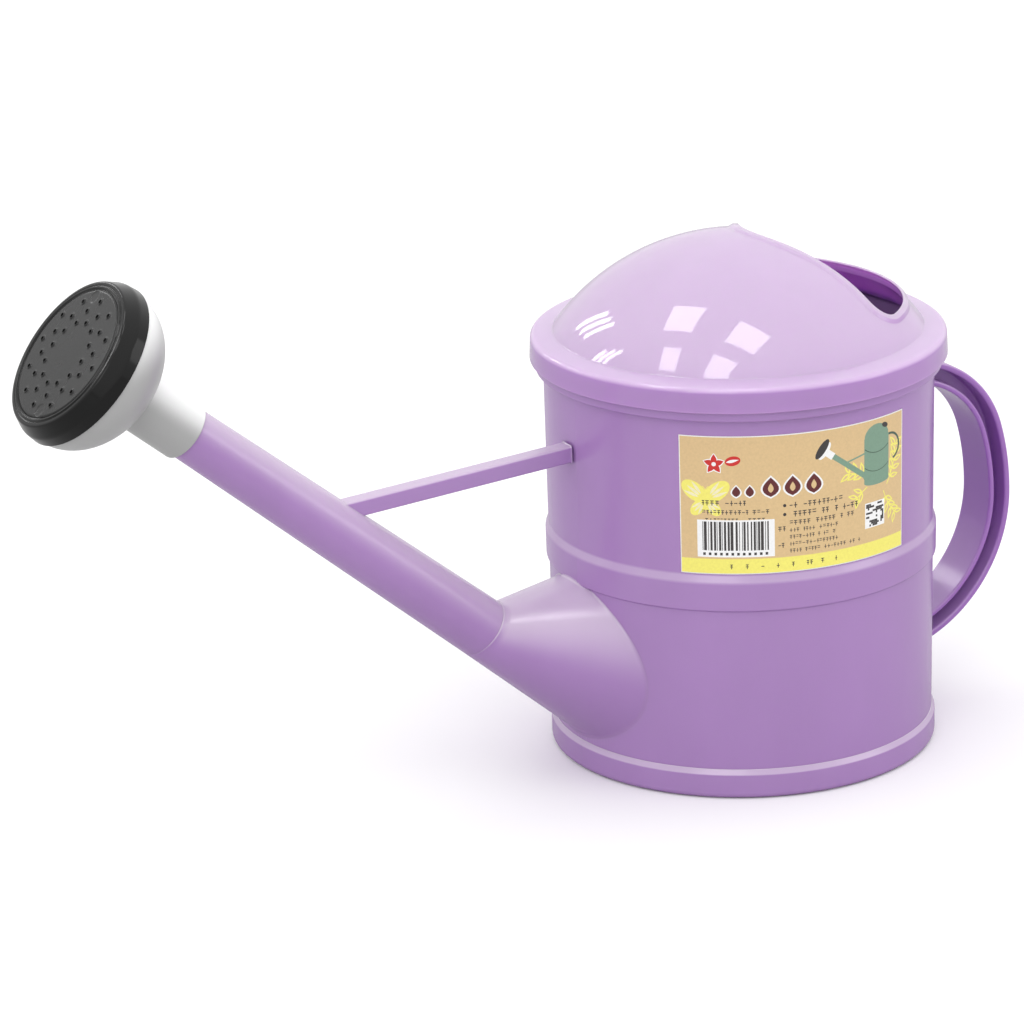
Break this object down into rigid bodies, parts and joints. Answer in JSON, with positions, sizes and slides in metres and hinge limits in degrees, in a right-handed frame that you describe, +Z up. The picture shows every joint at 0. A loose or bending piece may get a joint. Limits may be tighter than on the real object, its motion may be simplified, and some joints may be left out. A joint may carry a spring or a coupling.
{
  "type": "watering can",
  "caption": "Round lidded watering can with a hooded filling mouth, long raised spout with brace, ribbed loop handle and a pull-off sprinkler rose.",
  "frame": {"origin": "on the tank's vertical axis, at the ground plane that the foot stands on", "axes": "+Z up along the tank's axis, -X towards the spout and rose, +X towards the handle, -Y towards the label"},
  "size_m": [0.5079, 0.1964, 0.273],
  "materials": {
    "body_plastic": "semi-gloss moulded polypropylene, lilac purple",
    "hood_plastic": "polished moulded polypropylene, pale lilac",
    "rose_plastic": "smooth white moulded plastic",
    "face_plastic": "glossy black moulded plastic",
    "label_paper": "satin printed sticker"
  },
  "bodies": {
    "can": {"tank_wall": "body_plastic", "tank_base": "body_plastic", "spout_root": "body_plastic", "spout_tube": "body_plastic", "spout_brace": "body_plastic", "carry_handle": "body_plastic", "front_label": "label_paper"},
    "hood": {"hood_lid": "hood_plastic"},
    "rose": {"rose_funnel": "rose_plastic"},
    "face": {"rose_face": "face_plastic"}
  },
  "joints": [
    {"name": "hood_lift", "type": "slide", "parent": "can", "child": "hood", "axis": [0, 0, 1], "range_m": [0, 0.08]},
    {"name": "rose_pull", "type": "slide", "parent": "can", "child": "rose", "axis": [-0.7683, 0, 0.6401], "range_m": [0, 0.05]},
    {"name": "face_pull", "type": "slide", "parent": "rose", "child": "face", "axis": [-0.7683, 0, 0.6401], "range_m": [0, 0.03]}
  ]
}
